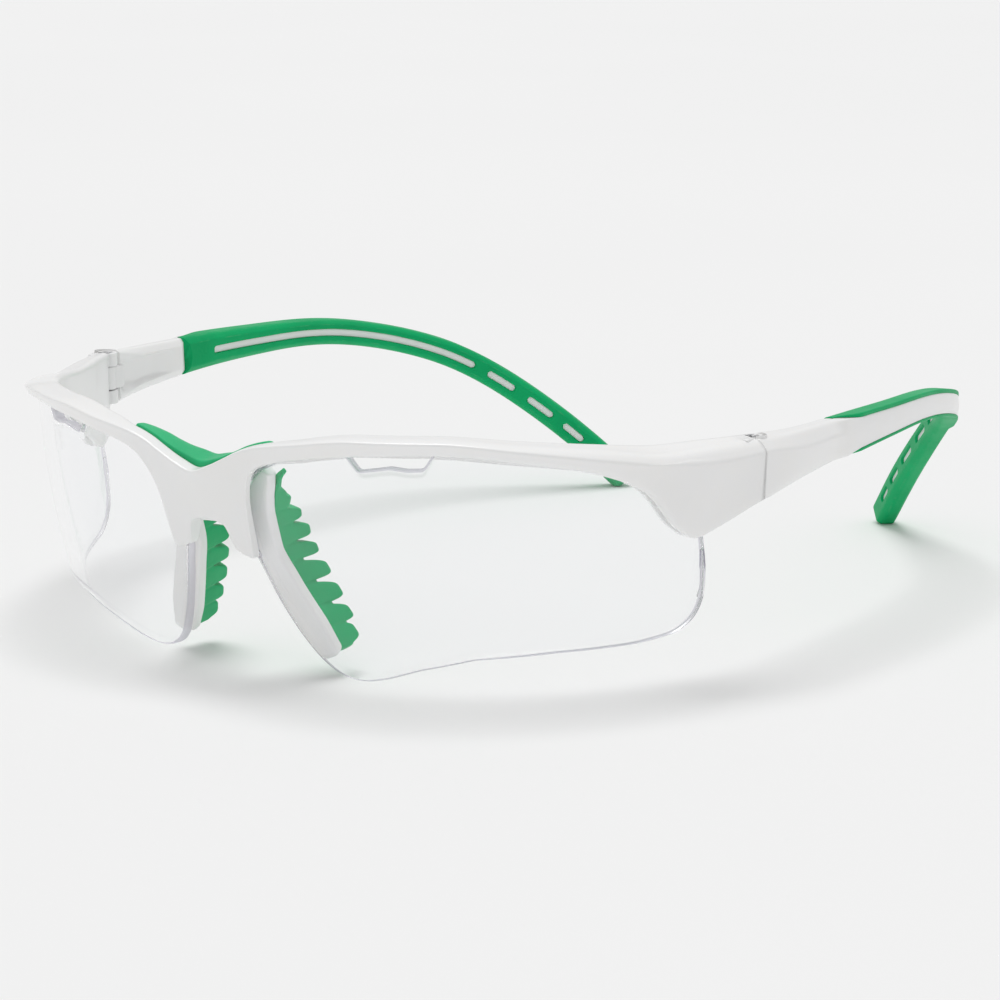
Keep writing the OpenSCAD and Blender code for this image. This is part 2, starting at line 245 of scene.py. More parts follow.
def piece(name, parts, body, node, material):
    """One object from several closed shells in millimetres, riding on a body in a CAD node's place."""
    start = np.cumsum([0] + [len(p[0]) for p in parts[:-1]])
    points = (np.vstack([p[0] for p in parts]) - [0, MID_Y, 0]) * MM
    faces = np.vstack([p[1] + s for p, s in zip(parts, start)])
    mesh = bpy.data.meshes.new(name)
    mesh.vertices.add(len(points))
    mesh.vertices.foreach_set("co", points.ravel())
    mesh.loops.add(faces.size)
    mesh.loops.foreach_set("vertex_index", faces.ravel().astype(np.int32))
    mesh.polygons.add(len(faces))
    mesh.polygons.foreach_set("loop_start", np.arange(0, faces.size, 4, dtype=np.int32))
    mesh.polygons.foreach_set("loop_total", np.full(len(faces), 4, dtype=np.int32))
    mesh.polygons.foreach_set("use_smooth", np.ones(len(faces), dtype=bool))
    mesh.update(calc_edges=True)
    mesh.validate()
    marks = mesh.attributes.new("corner", "FLOAT", "POINT")
    marks.data.foreach_set("value", np.concatenate([p[2] for p in parts]).astype(np.float32))
    mesh.materials.append(material)
    obj = bpy.data.objects.new(name, mesh)
    bpy.context.scene.collection.objects.link(obj)
    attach(obj, body)
    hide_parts(node)
    return obj


def pair(name, parts, body, material):
    """A piece of the wearer's left side and its mirror image, each in place of the CAD node that has
    its name in small letters; body says left or right where its curly brackets stand."""
    for side, shells in (("left", parts), ("right", [mirrored(p) for p in parts])):
        title = f"{name}_{side}"
        piece(title, shells, body.format(side), title.lower(), material)


# ---- Shapes ----


def lens_back(x, height):
    """How far back the lens stands: it leans by LENS_LEAN a millimetre below 38, less on its outer
    side, and bellies by 0.0048 of height from 20, squared."""
    return (LENS_LEAN - 0.148 * x / 60) * (38 - height) + 0.0048 * (height - 20)**2


def lens_at(angle, height, out):
    """Points of the lens: an arc in plan about the lens centre, set back as lens_back says."""
    a = np.radians(angle)
    x = LENS_CENTRE[0] + (LENS_RADIUS + out) * np.sin(a)
    y = LENS_CENTRE[1] - (LENS_RADIUS + out) * np.cos(a) + lens_back(x, height)
    return np.stack(np.broadcast_arrays(x, y, height), axis=-1)


def to_lens(p, n, out):
    """Level distance along n from points p to the lens surface that is out from its front face."""
    side = np.abs(p[:, 0])
    n2 = np.stack([np.where(p[:, 0] < 0, -n[:, 0], n[:, 0]), n[:, 1]], axis=-1)
    m = np.stack([side - LENS_CENTRE[0], p[:, 1] - LENS_CENTRE[1] - lens_back(side, p[:, 2])], axis=-1)
    k = (m * n2).sum(axis=1)
    return -k - np.sqrt(np.maximum(0, k * k - (m * m).sum(axis=1) + (LENS_RADIUS + out)**2))


def frame_guide(per=16):
    """Frame rows over both sides at per stations a row, with the level direction into the frame."""
    flip = np.array([-1, 1, 1, -1] + [1] * 7)
    rows = np.vstack([np.asarray(FRAME_ROWS[:0:-1], float) * flip, FRAME_ROWS])
    r = guide(rows, np.linspace(0, len(rows) - 1, (len(rows) - 1) * per + 1))
    d = np.gradient(r[:, :2], axis=0)
    return r, unit(np.stack([-d[:, 1], d[:, 0], 0 * d[:, 0]], axis=-1))


def front_shell(thickness):
    """The front frame: at each station a section of ten corners, from the foot behind the lower edge,
    up the back to the shelf, over it to the crease, down the face, and round the lens groove."""
    r, n = frame_guide()
    a, b = r[:, 3:6], r[:, 0:3]
    depth, rise, drop, foot, groove = (r[:, c:c + 1] for c in range(6, 11))
    play = 0.15  # room round the lens in its groove
    roof = a + UP * groove
    walls = ((a, play), (roof, play), (roof, -thickness - play), (a, -thickness - play))
    slots = [line + n * to_lens(line, n, out)[:, None] for line, out in walls]
    # where there is no groove its corners lie evenly along the underside
    plain = [a + n * foot * f for f in (0.2, 0.4, 0.6, 0.8)]
    slots = [np.where(groove < 0.4, q, s) for q, s in zip(plain, slots)]
    corners = np.stack([a + n * foot, b + n * depth + UP * (rise - drop), b + n * depth + UP * rise,
                        b + n * 1.4 + UP * rise * 0.72, b, a] + slots, axis=1)
    radius = np.tile([0.7, 0.8, 1.1, 1.3, 0.5, 0.55, 0.15, 0.15, 0.15, 0.15], (len(r), 1))
    # the lower edge is rounder beside the hinges and over the nose
    out = np.abs(r[:, 0])
    radius[:, 5] += 0.7 * smooth(48, 56, out) * smooth(71, 67, out) + 0.6 * smooth(10.5, 8.5, out)
    rings, near = rounded(corners, radius)
    # a shallow thumb dent in the shelf, ahead of each hinge
    x, y, z = np.abs(rings[..., 0]), rings[..., 1], rings[..., 2]
    across = ((x - 63.5 - (y - 27) * 0.4) / 3.2)**2 + ((y - 27) / 6.5)**2
    rings[..., 2] = z - 0.55 * np.exp(-across) * (z > 37.6)
    rings[..., 1] = np.minimum(y, FRAME_END)
    return shell(rings, near)


def pin(x, y, z0, z1, radius, edge=0.25, count=40, slot=False):
    """A round post on a vertical axis, with rounded ends: a half profile turned about the axis. With
    slot, its top is pressed in by 0.3 along a line 0.38 wide."""
    t = np.linspace(0, np.pi / 2, 6)
    r_end = np.concatenate([np.linspace(0.02, radius - edge, 14), radius - edge + edge * np.sin(t[1:])])
    z_end = np.concatenate([np.zeros(14), edge - edge * np.cos(t[1:])])
    r = np.concatenate([r_end, r_end[::-1]])
    z = np.concatenate([z0 + z_end, z1 - z_end[::-1]])
    turn = np.linspace(0, 2 * np.pi, count, endpoint=False)
    px = r[:, None] * np.cos(turn)
    py = r[:, None] * np.sin(turn)
    pz = np.repeat(z[:, None], count, axis=1)
    if slot:
        inside = smooth(0.24, 0.14, np.abs(px)) * smooth(radius - 0.1, radius - 0.3, np.hypot(px, py))
        pz = pz - 0.3 * inside * (pz > z1 - edge)
    return shell(np.stack([x + px, y + py, pz], axis=-1))


def block(x0, x1, y0, y1, z0, z1, edge=0.4):
    """A box with rounded upright edges and softened ends: a rounded rectangle moved up its height."""
    cx, cy, hx, hy = (x0 + x1) / 2, (y0 + y1) / 2, (x1 - x0) / 2, (y1 - y0) / 2
    t = np.linspace(0, np.pi / 2, 5)
    inset = np.concatenate([edge * (1 - np.sin(t)), edge * (1 - np.cos(t))])
    z = np.concatenate([z0 + edge * (1 - np.cos(t)), z1 - edge + edge * np.sin(t)])
    sign = np.array([[-1, -1], [1, -1], [1, 1], [-1, 1]])
    xy = np.array([cx, cy]) + sign * (np.array([hx, hy]) - inset[:, None, None])
    corners = np.concatenate([xy, np.repeat(z[:, None, None], 4, axis=1)], axis=2)
    rings, near = rounded(corners, edge)
    return shell(rings, near)


def lens_shell(thickness):
    """A lens: at each angle round its arc a column from lower to upper edge, front face at 0 and back
    face at the thickness. Its rims are quarter rounds set in square to the edge, whose slope the
    columns follow, and its two ends are rounded the same way. A fourth power of the angle past 75.3
    turns the lower outer corner up into the end."""
    r = LENS_RIM
    bend = np.linspace(0, np.pi / 2, 6)
    sine, drop = r * np.sin(bend), r * (1 - np.cos(bend))
    degree = np.radians(LENS_RADIUS)
    start, stop = LENS_FOOT[0][0] + r / degree, LENS_FOOT[-1][0] - r / degree
    # columns stand closest along the nose edge, round the vent notch and at the outer corner
    stretches = ((start, stop, 190), (start, 9, 300), (15.6, 33, 120), (66, stop, 60), (76, stop, 90))
    body = np.unique(np.concatenate([np.linspace(*stretch) for stretch in stretches]))
    angle = np.concatenate([start - sine[:0:-1] / degree, body, stop + sine[1:] / degree])
    inset = np.concatenate([drop[:0:-1], np.zeros(len(body)), drop[1:]])
    foot = softened(LENS_FOOT, angle, 1.6 + 2.2 * smooth(50, 66, angle))
    foot = foot + 5 * np.clip((angle - 75.3) / 2.7, 0, 1)**4
    head = softened(LENS_HEAD, angle, 0.6)
    # one face of a column: six rows round the lower rim, twenty up the face, six round the upper rim
    row = np.concatenate([np.zeros(6), np.linspace(0, 1, 22)[1:-1], np.ones(6)])
    lift = np.concatenate([drop, np.zeros(20), -drop[::-1]])
    out = np.concatenate([sine - r, np.zeros(20), sine[::-1] - r])
    rim = np.concatenate([np.ones(5), np.zeros(22), np.ones(5)])
    row, lift, rim = (np.concatenate([v, v[::-1]]) for v in (row, lift, rim))
    out = np.concatenate([out, -thickness - out[::-1]])
    slopes = [np.gradient(edge, angle * degree)[:, None] for edge in (foot, head)]
    slope = np.where(row < 0.5, *slopes)
    square = lift / np.sqrt(1 + slope**2)
    half = thickness / 2
    outs = -half + (out + half) * ((half - inset) / half)[:, None]
    heights = foot[:, None] + inset[:, None] + (head - foot - 2 * inset)[:, None] * row + square
    angles = angle[:, None] - slope * square / degree
    near = np.maximum(rim, (inset > 0)[:, None] * 1.0)
    return shell(lens_at(angles, heights, outs), near)


def bumper_shell():
    """The soft brow pad: the frame's shelf line carried back by its depth, with a six-cornered section.
    Depth follows a half ellipse across the bridge, and the top is raised by a bell curve at the middle,
    where the frame dips."""
    reach, half = 13.4, 13.9  # the pad's end, and the half axis of the ellipse
    r, n = frame_guide(24)
    keep = np.abs(r[:, 0]) < reach
    r, n = r[keep], n[keep]
    b = r[:, 0:3]
    w = 1.5 + 3.9 * np.sqrt(1 - (r[:, 0:1] / half)**2)
    d = r[:, 6:7] + 0.03
    full = UP * (1.5 * np.exp(-(r[:, 0:1] / 5.5)**2) - 0.5)
    corners = np.stack([b + n * (d + w * 0.6) - UP * 3, b + n * (d + w) - UP * 2,
                        b + n * (d + w) + full, b + n * (d + w * 0.7) + UP * 0.9 + full,
                        b + n * d + UP * 0.75 + full * 0.4, b + n * d - UP * 3], axis=1)
    rings, near = rounded(corners, [1.0, 1.2, 1.0, 1.2, 0.35, 0.4], arc=7)
    ends = unit(np.array([rings[0].mean(0) - rings[2].mean(0), rings[-1].mean(0) - rings[-3].mean(0)]))
    return capped(rings, near, ends, (1.1, 1.1))


def strip_line(table, gap, count):
    """Centre line behind the lens at a gap from its front, its direction, its level-ish back
    direction, its sideways direction and its widths."""
    r = guide(table, np.linspace(0, len(table) - 1, count))
    p = lens_at(r[:, 0], r[:, 1], -gap)
    d = unit(np.gradient(p, axis=0))
    y = np.array([0.0, 1.0, 0.0])
    b = unit(y - d * d[:, 1:2])
    return p, d, b, np.cross(b, d), r[:, 2]


def saddle_shells(arm):
    """The nose piece: on each side a flat arm with rounded edges that follows the lens's back and ends
    in a round foot, and the bar that joins the two behind the bridge."""
    p, d, b, w, width = strip_line(ARM_ROWS, ARM_GAP + arm / 2, 90)
    half = w * width[:, None] / 2
    thick = b * arm / 2
    corners = np.stack([p - thick - half, p - thick + half, p + thick + half, p + thick - half], axis=1)
    rings, near = rounded(corners, 0.55)
    side = capped(rings, near, (-d[0], d[-1]), (0.3, 1.3))
    # the bar sags a little at its middle and thickens towards the arms
    span = 7.4
    x = np.linspace(-span, span, 60)
    sag = 1 - (x / span)**2
    low, high = 24.6 + 0.9 * sag, 29.2 - 0.5 * sag
    front, back = np.full_like(x, -5.9), np.full_like(x, -3.9)
    corners = np.stack([np.stack([x, y, z], axis=-1) for y, z in
                        ((front, low), (back, low), (back, high), (front, high))], axis=1)
    return [side, mirrored(side), shell(*rounded(corners, 0.6))]


def comb_shell(strip):
    """A nose pad: a strip along the back of the arm whose rear edge is a comb.

    Along the strip each tooth is a superellipse, |x|^4.6 + |y|^4.6 = 1 in its own width and reach,
    narrower towards its tip and leaning upwards, so its top is flat and its underside slopes."""
    teeth = np.array(TEETH)
    count = len(teeth)
    p, d, b, w, width = strip_line(PAD_ROWS, PAD_GAP + strip / 2, 600)
    station = np.linspace(0, 1, len(p))
    first, last = 0.3, 0.985
    pitch = (last - first) / count
    turn = np.linspace(-np.pi / 2, np.pi / 2, 44)
    squareness = 2 / 4.6
    x = np.sign(np.sin(turn)) * np.abs(np.sin(turn))**squareness
    y = np.abs(np.cos(turn))**squareness
    middle = first + pitch * (np.arange(count) + 0.5)
    half = pitch * 0.45
    front = (middle[:, None] + half * np.linspace(-1, 1, len(turn))).ravel()
    rear = (middle[:, None] + half * (x * (1 - 0.3 * y) - 0.12 * y)).ravel()
    web = np.array(WEB + [WEB[-1]])
    ramp = np.linspace(0, 1, len(turn))
    valley = web[:-1, None] * (1 - ramp) + web[1:, None] * ramp
    reach = (valley + (teeth[:, None] - valley) * y).ravel()
    lead = np.linspace(0, first, 90, endpoint=False)
    front = np.concatenate([lead, front, [1.0]])
    rear = np.concatenate([lead, rear, [1.0]])
    reach = np.concatenate([WEB[0] * smooth(first - 0.08, first, lead), reach, [2.2]])

    def at(values, where):
        """Vectors along the strip at the stations in where."""
        return np.stack([np.interp(where, station, values[:, c]) for c in range(3)], axis=-1)

    sink = np.radians(6)  # the teeth point back, a little down and a little outwards
    point = np.array([np.sin(sink) * np.cos(sink), np.cos(sink)**2, -np.sin(sink)])
    wide = np.interp(front, station, width)[:, None] / 2
    thin = np.minimum(wide, 1.15)
    blend = smooth(0, 1.2, reach)[:, None]
    rear_wide = np.interp(rear, station, width)[:, None] / 2 * (1 - blend) + thin * blend
    pf, wf, bf = at(p, front), at(w, front), at(b, front)
    pr, wr = at(p, rear), at(w, rear)
    base = at(b, rear) * (strip * (0.3 + 0.7 * smooth(0.04, first, rear)) - strip / 2)[:, None]
    corners = np.stack([pf - bf * strip / 2 - wf * wide, pf - bf * strip / 2 + wf * wide,
                        pr + base + wr * rear_wide + point * reach[:, None],
                        pr + base - wr * rear_wide + point * reach[:, None]], axis=1)
    rings, near = rounded(corners, [0.3, 0.3, 0.6, 0.6], flat=(0.06, 0.2, 0.5, 0.8, 0.94))
    return capped(rings, near, (-d[0], d[-1]), (0.3, 0.5))


def temple_rows(u):
    """The temple's rows at stations u, averaged over up to 0.36 of a row on either side."""
    v = np.asarray(u) / PER_ROW
    last = len(TEMPLE_ROWS) - 1
    spread = 0.36 * smooth(0, 0.8, v) * smooth(last, last - 0.8, v)
    return sum(guide(TEMPLE_ROWS, v + spread * k) for k in (-1, -0.5, 0, 0.5, 1)) / 5


def temple_line(u):
    """Centre, direction, outward and upward half sizes of the temple at stations u."""
    r = temple_rows(u)
    line = temple_rows(DENSE)[:, :3]
    slope = unit(np.gradient(line, axis=0))
    d = unit(np.stack([np.interp(u, DENSE, slope[:, c]) for c in range(3)], axis=-1))
    s = unit(np.cross(d, UP))
    return r[:, :3], d, s * r[:, 4:5] / 2, np.cross(s, d), r[:, 3] / 2


def walk(u):
    """Length in millimetres along the temple from its root to stations u."""
    line = temple_rows(DENSE)[:, :3]
    length = np.concatenate([[0], np.cumsum(np.linalg.norm(np.diff(line, axis=0), axis=1))])
    return np.interp(u, DENSE, length)


def section(u, across, high):
    """Corners at stations u from parts of the half thickness and of the half height."""
    c, d, q, h, tall = temple_line(u)
    return c[:, None] + q[:, None] * across[..., None] + (h * tall[:, None])[:, None] * high[..., None]


def lips(u):
    """How much of their full height the grip's lips have at stations u."""
    return 0.25 + 0.75 * smooth(GRIP_START, GRIP_START + 2.2, u)


def mix(lo, hi, x, first, last):
    """Section numbers that go from first to last as x goes from lo to hi."""
    f = smooth(lo, hi, x)[:, None]
    return np.asarray(first) * (1 - f) + np.asarray(last) * f


def temple_shells():
    """The hard temple: a full section with a crease along its outer face as far as the grip, then only
    the outer half, lying in the grip's channel, and the bars that fill the grip's slots."""
    u = np.concatenate([np.linspace(0, 1.6, 40, endpoint=False), np.linspace(1.6, CORE_END, 260)])
    inner = smooth(GRIP_START - 0.5, GRIP_START + 0.7, u)[:, None]
    across = mix(0, 7, u, [-1, -1, -0.7, 0.42, 1.0, 0.8, 0.7, -0.8],
                 [-1, -1, -0.6, 0.35, 1.0, 0.62, 0.4, -0.6])
    high = mix(0, 7, u, [-0.9, 0.94, 1, 0.88, 0.54, -0.94, -1, -1],
               [-0.6, 0.6, 1, 0.95, 0.3, -0.6, -1, -1])
    across_c = np.array([0.04, 0.04, 0.1, 0.9, 1.04, 0.9, 0.75, 0.1])
    c, d, q, h, tall = temple_line(u)
    ridge = mix(GRIP_START, 20, u, [0.22], [0.05])
    top, low = 1 - (0.7 * lips(u) / tall)[:, None], -1 + (0.5 * lips(u) / tall)[:, None]
    high_c = np.concatenate([low, top, top, top, ridge, low, low, low], axis=1)
    across = across * (1 - inner) + across_c * inner
    high = high * (1 - inner) + high_c * inner
    corners = section(u, across, high)
    radius = mix(GRIP_START - 0.5, GRIP_START + 1.5, u, [0.3, 0.3, 0.5, 0.6, 0.45, 0.7, 0.5, 0.5],
                 [0.2, 0.2, 0.2, 0.1, 0.9, 0.1, 0.2, 0.2])
    rings, near = rounded(corners, radius, flat=(0.1, 0.2, 0.35, 0.5, 0.65, 0.8, 0.9))
    # shallow pocket on the inner face between hinge and grip
    side = ((rings - c[:, None]) * unit(q)[:, None]).sum(-1) / np.linalg.norm(q, axis=1)[:, None]
    rise = np.abs(((rings - c[:, None]) * h[:, None]).sum(-1)) / tall[:, None]
    pocket = smooth(-0.8, -0.95, side) * smooth(0.62, 0.5, rise)
    pocket = pocket * (smooth(1.5, 2.2, u) * smooth(8.0, 6.0, u))[:, None]
    rings = rings + unit(q)[:, None] * (0.9 * pocket)[..., None]
    # the root comes up to the frame's end face
    rings[..., 1] -= 0.36 * smooth(0.12, 0, u)[:, None]
    # room for the hinge ears: a round hollow about the hinge axis
    hollow = 2.25
    x, y = rings[..., 0], rings[..., 1]
    wall = PIVOT[0] + np.sqrt(np.maximum(0, hollow**2 - (y - PIVOT[1])**2))
    rings[..., 0] = np.where(y < PIVOT[1] + hollow, np.maximum(x, wall), x)
    shells = [capped(rings, near, (-d[0], d[-1]), (0, 1.2))]
    shells += [slot_bar(first, last) for first, last in SLOTS]
    z0, z1 = HINGE_Z[1] + 0.12, HINGE_Z[2] - 0.12
    shells.append(pin(*PIVOT, z0, z1, 1.52, edge=0.2))
    shells.append(block(PIVOT[0] - 1.1, PIVOT[0] + 2.6, PIVOT[1], PIVOT[1] + 3.6, z0, z1))
    return shells


def slot_bar(first, last):
    """A rib with round ends that fills one slot: along the temple its half height is that of a circle
    near each end and SLOT_HALF between, and it stands 0.45 below the grip's inner face."""
    l0, l1 = walk(first), walk(last)
    r = SLOT_HALF
    t = np.linspace(0, np.pi / 2, 10)
    length = np.concatenate([l0 + r - r * np.cos(t), np.linspace(l0 + r, l1 - r, 40)[1:-1],
                             l1 - r + r * np.sin(t)])
    tall_mm = np.concatenate([r * np.sin(t), np.full(38, r), r * np.cos(t)]) + 0.02
    u = np.interp(length, walk(DENSE), DENSE)
    c, d, q, h, tall = temple_line(u)
    face = c - q + unit(q) * 0.45
    back = c + q * 0.3
    lift = h * tall_mm[:, None]
    corners = np.stack([face - lift, face + lift, back + lift, back - lift], axis=1)
    rings, near = rounded(corners, [0.15, 0.15, 0.02, 0.02])
    return shell(rings, near)


def grip_shell():
    """The soft grip: a channel open to the outside that holds the temple's core, with a lip 0.72 high
    over it and one 0.52 high under it, closing to a full rounded section past the core's end. Its
    inner face has a shallow pocket for each slot: what is nearer than 0.7 to the slot's middle line is
    pushed in."""
    u = np.concatenate([np.linspace(GRIP_START, 10, 24, endpoint=False), np.linspace(10, TIP, 620)])
    c, d, q, h, tall = temple_line(u)
    closed = smooth(CORE_END - 0.1, CORE_END + 0.9, u)[:, None]
    reach = (0.06 + 0.86 * smooth(GRIP_START, GRIP_START + 2.2, u))[:, None]
    top, low = (0.72 * lips(u) / tall)[:, None], (0.52 * lips(u) / tall)[:, None]
    one = np.ones_like(reach)
    floor_q = 0.02 * one * (1 - closed) + 0.93 * closed
    reach = reach * (1 - closed) + 0.98 * closed
    under = (1 - top) * (1 - closed) + 0.55 * closed
    over = (-1 + low) * (1 - closed) - 0.55 * closed
    across = np.concatenate([-one, -one, -0.55 * one, reach - 0.45 * closed, reach, floor_q, floor_q,
                             reach, reach - 0.45 * closed, -0.55 * one], axis=1)
    high = np.concatenate([-0.64 * one, 0.64 * one, one, one, under, under - 0.02, over + 0.02, over,
                           -one, -one], axis=1)
    swell = 1.02  # the rubber stands a little proud of the hard temple
    corners = section(u, across * swell, high * swell)
    rings, near = rounded(corners, [0.32, 0.32, 0.7, 0.3, 0.1, 0.1, 0.1, 0.1, 0.3, 0.7],
                          flat=(0.15, 0.5, 0.85))
    # rows of the inner face, in millimetres from its middle line, close together at the slots' walls
    upper = np.array([0.3, 0.58, 0.66, 0.73, 0.82, 1.04])
    rows = np.concatenate([-upper[::-1], [0], upper])
    face = c[:, None] - q[:, None] * swell + h[:, None] * rows[:, None]
    arc = 5  # points round the first corner, which come before the inner face's three
    rings = np.concatenate([rings[:, :arc], face, rings[:, arc + 3:]], axis=1)
    near = np.concatenate([near[:, :arc], np.zeros((len(u), len(rows))), near[:, arc + 3:]], axis=1)
    along = walk(u)[:, None]
    lifts = ((rings - c[:, None]) * h[:, None]).sum(-1)
    inner = ((rings - c[:, None]) * unit(q)[:, None]).sum(-1) < -0.9 * np.linalg.norm(q, axis=1)[:, None]
    push = np.zeros(rings.shape[:2])
    for first, last in SLOTS:
        l0, l1 = walk(first), walk(last)
        beyond = np.maximum(0, np.abs(along - (l0 + l1) / 2) - ((l1 - l0) / 2 - 0.7))
        push = np.maximum(push, smooth(0.74, 0.65, np.hypot(beyond, lifts)))
    rings = rings + unit(q)[:, None] * (0.8 * push * inner)[..., None]
    # the grip starts on a hollow arc
    bow = 1.3 * np.exp(-(u - GRIP_START) / 0.5)[:, None] * (1 - np.clip(lifts / tall[:, None], -1, 1)**2)
    rings = rings + d[:, None] * bow[..., None]
    points, faces, marks = capped(rings, near, (-d[0], d[-1]), (0, 1.6), steps=8)
    # the tip is flat where it rests
    points[:, 2] = np.maximum(points[:, 2], 0.06)
    return points, faces, marks


# ---- Materials ----


def link(tree, source, target):
    """Joins two sockets."""
    tree.links.new(source, target)


def group(name, inputs, outputs):
    """An empty shader node group with named sockets: name, kind and default for each."""
    tree = bpy.data.node_groups.new(name, "ShaderNodeTree")
    for label, kind, value in inputs:
        socket = tree.interface.new_socket(name=label, in_out="INPUT", socket_type=kind)
        if value is not None:
            socket.default_value = value
    for label, kind in outputs:
        tree.interface.new_socket(name=label, in_out="OUTPUT", socket_type=kind)
    return tree, tree.nodes.new("NodeGroupInput"), tree.nodes.new("NodeGroupOutput")


def settle(node, **values):
    """Sets a node's plain sockets by name, with a low line for each space."""
    for label, value in values.items():
        node.inputs[label.replace("_", " ")].default_value = value


def noise(tree, coords, scale, detail=3.0, rough=0.5):
    """A noise texture on coords."""
    node = tree.nodes.new("ShaderNodeTexNoise")
    settle(node, Detail=detail, Roughness=rough)
    if isinstance(scale, (int, float)):
        node.inputs["Scale"].default_value = scale
    else:
        link(tree, scale, node.inputs["Scale"])
    link(tree, coords, node.inputs["Vector"])
    return node.outputs["Fac"]


def remap(tree, value, lo, hi, out_lo=0.0, out_hi=1.0):
    """A value mapped from one range to another, held at its ends."""
    node = tree.nodes.new("ShaderNodeMapRange")
    node.interpolation_type = "SMOOTHSTEP"
    for label, number in (("From Min", lo), ("From Max", hi), ("To Min", out_lo), ("To Max", out_hi)):
        if isinstance(number, (int, float)):
            node.inputs[label].default_value = number
        else:
            link(tree, number, node.inputs[label])
    link(tree, value, node.inputs["Value"])
    return node.outputs["Result"]


def maths(tree, kind, a, b):
    """Two numbers or sockets put together by a Math node."""
    node = tree.nodes.new("ShaderNodeMath")
    node.operation = kind
    for socket, value in zip(node.inputs, (a, b)):
        if isinstance(value, (int, float)):
            socket.default_value = value
        else:
            link(tree, value, socket)
    return node.outputs["Value"]


def blend_colour(tree, factor, a, b):
    """Colour a to colour b by factor."""
    node = tree.nodes.new("ShaderNodeMix")
    node.data_type = "RGBA"
    # a Mix node has sockets of the same name for each kind; 6, 7 and output 2 are the colours
    link(tree, factor, node.inputs[0])
    for socket, value in ((node.inputs[6], a), (node.inputs[7], b)):
        if isinstance(value, tuple):
            socket.default_value = value
        else:
            link(tree, value, socket)
    return node.outputs[2]


def bump(tree, strength, distance, height, under=None):
    """The normal of a Bump node, laid over the one under it."""
    node = tree.nodes.new("ShaderNodeBump")
    node.inputs["Distance"].default_value = distance
    link(tree, strength, node.inputs["Strength"])
    link(tree, height, node.inputs["Height"])
    if under:
        link(tree, under, node.inputs["Normal"])
    return node.outputs["Normal"]


def object_coords(tree):
    """Object coordinates."""
    return tree.nodes.new("ShaderNodeTexCoord").outputs["Object"]


def corner_marks(tree):
    """The mesh's marks of how near a point is to a rounded corner's middle."""
    node = tree.nodes.new("ShaderNodeAttribute")
    node.attribute_name = "corner"
    return node.outputs["Fac"]


def moulded_skin():
    """Group: the skin of a moulded piece. Roughness varies with soft handling marks and a fine
    sparkle; the normal has long shallow sink waves and a fine grain."""
    tree, given, result = group("moulded skin", [
        ("Roughness", "NodeSocketFloat", 0.3), ("Handling", "NodeSocketFloat", 0.06),
        ("Grain Size", "NodeSocketFloat", 900.0), ("Grain Depth", "NodeSocketFloat", 0.04),
        ("Wave Depth", "NodeSocketFloat", 0.1),
    ], [("Roughness", "NodeSocketFloat"), ("Normal", "NodeSocketVector"), ("Mottle", "NodeSocketFloat")])
    coords = object_coords(tree)
    marks = remap(tree, noise(tree, coords, 55.0, 4.0, 0.6), 0.35, 0.7, -1.0, 1.0)
    rough = maths(tree, "ADD", given.outputs["Roughness"],
                  maths(tree, "MULTIPLY", marks, given.outputs["Handling"]))
    grain = noise(tree, coords, given.outputs["Grain Size"], 2.0)
    waves = noise(tree, coords, 70.0, 1.0)
    fine = bump(tree, given.outputs["Grain Depth"], 0.0001, grain)
    broad = bump(tree, given.outputs["Wave Depth"], 0.0006, waves, fine)
    link(tree, rough, result.inputs["Roughness"])
    link(tree, broad, result.inputs["Normal"])
    link(tree, marks, result.inputs["Mottle"])
    return tree


def edge_wear():
    """Group: a mask of rubbed corners, from the corner marks on the mesh broken up by noise."""
    tree, given, result = group("edge wear", [
        ("Amount", "NodeSocketFloat", 0.5), ("Break Up", "NodeSocketFloat", 320.0),
    ], [("Mask", "NodeSocketFloat")])
    coords = object_coords(tree)
    patches = remap(tree, noise(tree, coords, given.outputs["Break Up"], 4.0, 0.65), 0.45, 0.72)
    worn = maths(tree, "MULTIPLY", remap(tree, corner_marks(tree), 0.35, 1.0), patches)
    link(tree, maths(tree, "MULTIPLY", worn, given.outputs["Amount"]), result.inputs["Mask"])
    return tree


def fine_dust():
    """Group: a mask of settled dust on faces that look up, in specks and faint clouds."""
    tree, given, result = group("fine dust", [
        ("Amount", "NodeSocketFloat", 0.2), ("Speck Size", "NodeSocketFloat", 1400.0),
    ], [("Mask", "NodeSocketFloat")])
    coords = tree.nodes.new("ShaderNodeTexCoord")
    split = tree.nodes.new("ShaderNodeSeparateXYZ")
    link(tree, coords.outputs["Normal"], split.inputs["Vector"])
    facing = remap(tree, split.outputs["Z"], 0.2, 1.0)
    clouds = remap(tree, noise(tree, coords.outputs["Object"], 90.0, 5.0, 0.6), 0.5, 0.75, 0.0, 0.5)
    specks = noise(tree, coords.outputs["Object"], given.outputs["Speck Size"], 0.0)
    specks = remap(tree, specks, 0.74, 0.8)
    both = maths(tree, "MULTIPLY", facing, maths(tree, "MAXIMUM", clouds, specks))
    link(tree, maths(tree, "MULTIPLY", both, given.outputs["Amount"]), result.inputs["Mask"])
    return tree


GROUPS = {}


def effect(tree, name, **values):
    """A shared effect placed in a material with its own values; the group is built at first use."""
    makers = {"moulded skin": moulded_skin, "edge wear": edge_wear, "fine dust": fine_dust}
    if name not in GROUPS:
        GROUPS[name] = makers[name]()
    node = tree.nodes.new("ShaderNodeGroup")
    node.node_tree = GROUPS[name]
    settle(node, **values)
    return node.outputs


def blank(name):
    """A material with only a Principled surface."""
    material = bpy.data.materials.new(name)
    material.use_nodes = True
    tree = material.node_tree
    surface = tree.nodes["Principled BSDF"]
    return material, tree, surface


def rgba(colour):
    """A four-part colour."""
    return (colour[0], colour[1], colour[2], 1.0)


def shade(colour, by):
    """A colour made darker or brighter, to white at most."""
    return tuple(min(1.0, c * by) for c in colour)


